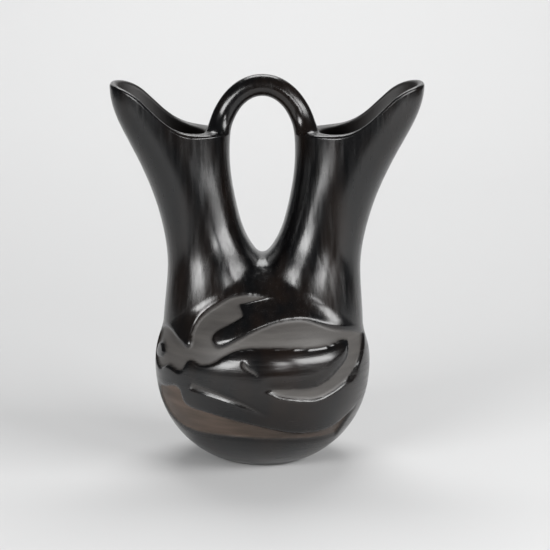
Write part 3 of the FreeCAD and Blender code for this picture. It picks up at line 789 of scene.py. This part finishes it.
class VASE_PG_studio(bpy.types.PropertyGroup):
    lens: bpy.props.FloatProperty(
        name="Lens", description="Focal length in mm on a 36 mm sensor", default=180.6)
    left_light: bpy.props.FloatProperty(
        name="Left light", description="Power of the soft box to the left", default=15.0, unit="POWER")
    right_light: bpy.props.FloatProperty(
        name="Right light", description="Power of the soft box to the right", default=20.0, unit="POWER")
    low_light: bpy.props.FloatProperty(
        name="Low light", description="Power of the small soft box beside the camera", default=3.0,
        unit="POWER")
    top_light: bpy.props.FloatProperty(
        name="Top light", description="Power of the soft box overhead", default=37.0, unit="POWER")


# Columns of the bowl outside and inside; the tube under them is read at each eighth row of its skin.
BOWL_COLUMNS, INSIDE_COLUMNS, SKIN_STEP = 440, 144, 8
# Heights between which the outer rows lie close together for the carving, and how close.
CLOSE_FROM, CLOSE_TO, SPACING = 22, 134.5, 1.03


class VASE_OT_form_clay(bpy.types.Operator):
    """Form the bowl and the two necks as one skin, and carve the bowl"""

    bl_idname = "vase.form_clay"
    bl_label = "Form and carve the clay"

    def execute(self, context):
        clay = Clay()
        loops, skins = neck_part(clay)
        # Few rows below the carving, then close ones over it, then a few up to where the necks part.
        outer_heights = np.concatenate([
            np.linspace(0, CLOSE_FROM, 14)[:-1], bowl_heights(CLOSE_FROM, CLOSE_TO, SPACING),
            np.linspace(CLOSE_TO + 1.5, OUTER_CUT - 1.5, 7)])
        inner_heights = np.linspace(FLOOR, INNER_CUT - 2, 44)
        tops = {}
        for which, heights, columns, bare in (
                ("out", outer_heights, BOWL_COLUMNS, 0.0), ("in", inner_heights, INSIDE_COLUMNS, 1.0)):
            rows, turn = round_part(clay, skins[which][::SKIN_STEP], heights, columns, which == "out")
            close_round(clay, rows[0], heights[0], bare)
            tops[which] = rows[-1], turn
        points = np.concatenate(clay.points)
        for which, (top, turn) in tops.items():
            loop = np.array(loops[which])
            angle = bearing(points[loop])
            order = np.argsort(angle)
            clay.faces += zip_faces(top, turn, loop[order], angle[order])
        place("clay_body", make_mesh("clay_body", clay), burnished_clay(context.scene.vase_look))
        return {"FINISHED"}


def coil_tree():
    """Coil along a path: thicker at both ends, closed, in the material that is handed in."""
    tree = bpy.data.node_groups.new("coil_along_a_path", "GeometryNodeTree")
    inputs = {"Path": "Geometry", "Thickness": "Float", "Flare": "Float", "Flare share": "Float",
              "Sides": "Int", "Steps": "Int", "Finish": "Material"}
    for name, kind in inputs.items():
        tree.interface.new_socket(name, in_out="INPUT", socket_type="NodeSocket" + kind)
    tree.interface.new_socket("Coil", in_out="OUTPUT", socket_type="NodeSocketGeometry")
    given = add(tree, "NodeGroupInput").outputs
    line = add(tree, "GeometryNodeMeshToCurve", {"Mesh": given["Path"]}).outputs["Curve"]
    line = add(tree, "GeometryNodeResampleCurve", {"Curve": line, "Count": given["Steps"]}).outputs["Curve"]
    share = add(tree, "GeometryNodeSplineParameter").outputs["Factor"]
    nearest = maths(tree, "MINIMUM", share, maths(tree, "SUBTRACT", 1.0, share))
    from_end = maths(tree, "DIVIDE", nearest, given["Flare share"], use_clamp=True)
    curved = maths(tree, "POWER", maths(tree, "SUBTRACT", 1.0, from_end), 2.4)
    added = maths(tree, "SUBTRACT", given["Flare"], 1.0)
    scale = maths(tree, "MULTIPLY_ADD", curved, added, 1.0)
    size = maths(tree, "MULTIPLY", scale, maths(tree, "MULTIPLY", given["Thickness"], 0.5))
    ring = add(tree, "GeometryNodeCurvePrimitiveCircle", {"Resolution": given["Sides"], "Radius": 1.0})
    solid = add(tree, "GeometryNodeCurveToMesh", {
        "Curve": line, "Profile Curve": ring.outputs["Curve"], "Scale": size, "Fill Caps": True})
    whole = add(tree, "GeometryNodeRealizeInstances", {"Geometry": solid.outputs["Mesh"]})
    done = add(tree, "GeometryNodeSetMaterial", {
        "Geometry": whole.outputs["Geometry"], "Material": given["Finish"]})
    add(tree, "NodeGroupOutput", {"Coil": done.outputs["Geometry"]})
    return tree


def grown(path, tree, values):
    """Plain mesh that a tree makes from a mesh path."""
    holder = bpy.data.objects.new("path_holder", path)
    bpy.context.scene.collection.objects.link(holder)
    modifier = holder.modifiers.new("coil", "NODES")
    modifier.node_group = tree
    for item in tree.interface.items_tree:
        if item.in_out == "INPUT" and item.name in values:
            modifier[item.identifier] = values[item.name]
    bpy.context.view_layer.update()
    ready = holder.evaluated_get(bpy.context.evaluated_depsgraph_get())
    mesh = bpy.data.meshes.new_from_object(ready)
    bpy.data.objects.remove(holder)
    return mesh


# Middle line of the handle's right half, from inside the lip to just before the top.
HANDLE_LINE = [(31.2, 234.0), (31.2, 243.0), (30.6, 249.0), (29.2, 254.5), (26.6, 260.0), (22.0, 266.9),
               (15.0, 273.6), (7.6, 277.4)]
HANDLE_TOP = (0.0, 278.6)
# The coil's mesh, and the share of its length over which each end grows wider.
COIL_SIDES, COIL_STEPS, PATH_POINTS, FLARE_SHARE = 56, 180, 121, 0.22
# A leg's foot: its middle on the lip, how far it spreads to the side and from front to back, and the
# depth and radius at which it ends inside the clay.
ROOT_X, ROOT_Z = 31.0, LOW_EDGE - 0.5
SPREAD_X, SPREAD_Y = 13.0, 19.0
DEEP_Z, DEEP_RADIUS = 233.0, 4


def flow_in(mesh, body, reach):
    """Spread the foot of each leg over the lip below it, so that the coil flows into the clay."""
    tree = BVHTree.FromPolygons([v.co[:] for v in body.vertices], [p.vertices[:] for p in body.polygons])
    for vertex in mesh.vertices:
        x, y, z = vertex.co / MM
        above = z - ROOT_Z
        if above > reach:
            continue
        root_x = ROOT_X if x > 0 else -ROOT_X
        out = Vector((x - root_x, y, 0))
        out.normalize()
        spot = Vector((root_x, 0, ROOT_Z)) + Vector((out.x * SPREAD_X, out.y * SPREAD_Y, 0))
        landing = tree.find_nearest(spot * MM)[0] / MM
        if above > 0:
            share = (1 - above / reach) ** 2.2
            there = vertex.co / MM * (1 - share) + landing * share
        else:
            share = min(1.0, -above / (ROOT_Z - DEEP_Z))
            core = Vector((root_x + out.x * DEEP_RADIUS, out.y * DEEP_RADIUS, DEEP_Z))
            there = landing * (1 - share) + core * share
        vertex.co = there * MM


class VASE_OT_bend_handle(bpy.types.Operator):
    """Bend the coil handle over the gap and flow its ends into the lips"""

    bl_idname = "vase.bend_handle"
    bl_label = "Bend the handle"

    def execute(self, context):
        handle = context.scene.vase_handle
        knots = HANDLE_LINE + [HANDLE_TOP] + [(-x, z) for x, z in reversed(HANDLE_LINE)]
        line = through(knots, PATH_POINTS)
        path = bpy.data.meshes.new("handle_path")
        edges = [(k, k + 1) for k in range(len(line) - 1)]
        path.from_pydata([(x * MM, 0.0, z * MM) for x, z in line], edges, [])
        clay = burnished_clay(context.scene.vase_look)
        mesh = grown(path, coil_tree(), {
            "Thickness": handle.thickness, "Flare": handle.flare, "Flare share": FLARE_SHARE,
            "Sides": COIL_SIDES, "Steps": COIL_STEPS, "Finish": clay})
        flow_in(mesh, bpy.data.objects["clay_body"].data, handle.fillet / MM)
        mesh.shade_smooth()
        for label in MASKS:
            mesh.attributes.new(label, "FLOAT", "POINT")
        place("coil_handle", mesh, clay)
        return {"FINISHED"}


# The studio, in metres. The paper: its half width, the start of its floor, and where and how tightly it
# turns up into the wall behind.
PAPER_HALF_WIDTH, PAPER_START, PAPER_TURN, PAPER_RADIUS, PAPER_TOP = 1.1, -0.7, 1.2, 1.0, 4.0
# Soft boxes: place, what they look at, width and height, and the setting that holds the power.
SOFT_BOXES = {
    "left_box": ((-0.85, -1.11, 0.53), (0, 0, 0.14), (0.75, 0.45), "left_light"),
    "right_box": ((1.21, -0.70, 0.62), (0, 0, 0.14), (1.15, 0.5), "right_light"),
    "low_box": ((0.52, -1.30, 0.45), (0, 0, 0.13), (0.36, 0.2), "low_light"),
    "top_box": ((0.0, 1.3, 2.0), (0, 1.31, 0.0), (1.6, 1.2), "top_light"),
}
AIR_COLOUR, AIR_STRENGTH = "#c8ccd0", 0.1
CAMERA_PLACE, CAMERA_TARGET = (0.0093, -2.0, 0.548), (0.0093, 0.0, 0.137)


def aim(thing, target):
    """Turn a lamp or the camera to look at a point."""
    thing.rotation_euler = (Vector(target) - thing.location).to_track_quat("-Z", "Y").to_euler()


def soft_box(name, spot, target, size, power):
    """Rectangular soft box."""
    lamp = bpy.data.lights.new(name, "AREA")
    lamp.shape = "RECTANGLE"
    lamp.size, lamp.size_y = size
    lamp.energy = power
    box = bpy.data.objects.new(name, lamp)
    bpy.context.scene.collection.objects.link(box)
    box.location = spot
    aim(box, target)


class VASE_OT_set_stage(bpy.types.Operator):
    """Lay the paper sweep, hang the soft boxes and set up the camera"""

    bl_idname = "vase.set_stage"
    bl_label = "Set the stage"

    def execute(self, context):
        studio = context.scene.vase_studio
        sheet = bmesh.new()
        profile = [(PAPER_START, 0.0), (PAPER_TURN, 0.0)]
        profile += [(PAPER_TURN + PAPER_RADIUS * math.sin(a), PAPER_RADIUS * (1 - math.cos(a)))
                    for a in np.linspace(0.15, math.pi / 2, 12)]
        profile += [(PAPER_TURN + PAPER_RADIUS, PAPER_TOP)]
        sides = (-PAPER_HALF_WIDTH, PAPER_HALF_WIDTH)
        rows = [[sheet.verts.new((x, y, z)) for x in sides] for y, z in profile]
        for a, b in zip(rows, rows[1:]):
            sheet.faces.new((a[0], a[1], b[1], b[0]))
        mesh = bpy.data.meshes.new("paper_sweep")
        sheet.to_mesh(mesh)
        sheet.free()
        mesh.shade_smooth()
        mesh.materials.append(paper(context.scene.vase_look))
        floor = bpy.data.objects.new("paper_sweep", mesh)
        context.scene.collection.objects.link(floor)

        for name, (spot, target, size, power) in SOFT_BOXES.items():
            soft_box(name, spot, target, size, getattr(studio, power))

        world = bpy.data.worlds.new("studio_air")
        context.scene.world = world
        world.use_nodes = True
        air = world.node_tree.nodes["Background"].inputs
        air["Color"].default_value = linear(AIR_COLOUR)
        air["Strength"].default_value = AIR_STRENGTH

        camera = bpy.data.cameras.new("camera")
        camera.sensor_width = 36.0
        camera.lens = studio.lens
        camera.clip_end = 50.0
        eye = bpy.data.objects.new("camera", camera)
        context.scene.collection.objects.link(eye)
        eye.location = CAMERA_PLACE
        aim(eye, CAMERA_TARGET)
        context.scene.camera = eye
        context.scene.view_settings.view_transform = "Standard"
        return {"FINISHED"}


class VASE_PT_panel(bpy.types.Panel):
    """Lists the pieces in the 3D view's sidebar"""

    bl_idname = "VASE_PT_panel"
    bl_label = "Wedding vase"
    bl_space_type = "VIEW_3D"
    bl_region_type = "UI"
    bl_category = "Wedding vase"

    def draw(self, context):
        for group in GROUPS:
            settings = getattr(context.scene, group)
            for name in settings.__annotations__:
                self.layout.prop(settings, name)
        for piece in OPERATORS:
            self.layout.operator(piece.bl_idname)


OPERATORS = (VASE_OT_form_clay, VASE_OT_bend_handle, VASE_OT_set_stage)
GROUPS = {"vase_look": VASE_PG_look, "vase_handle": VASE_PG_handle, "vase_studio": VASE_PG_studio}
CLASSES = (*GROUPS.values(), *OPERATORS, VASE_PT_panel)


def register():
    for item in CLASSES:
        bpy.utils.register_class(item)
    for name, group in GROUPS.items():
        setattr(bpy.types.Scene, name, bpy.props.PointerProperty(type=group))


def unregister():
    for name in GROUPS:
        delattr(bpy.types.Scene, name)
    for item in reversed(CLASSES):
        bpy.utils.unregister_class(item)


def main():
    register()
    bpy.ops.vase.form_clay()
    bpy.ops.vase.bend_handle()
    bpy.ops.vase.set_stage()


if __name__ == "__main__":
    main()
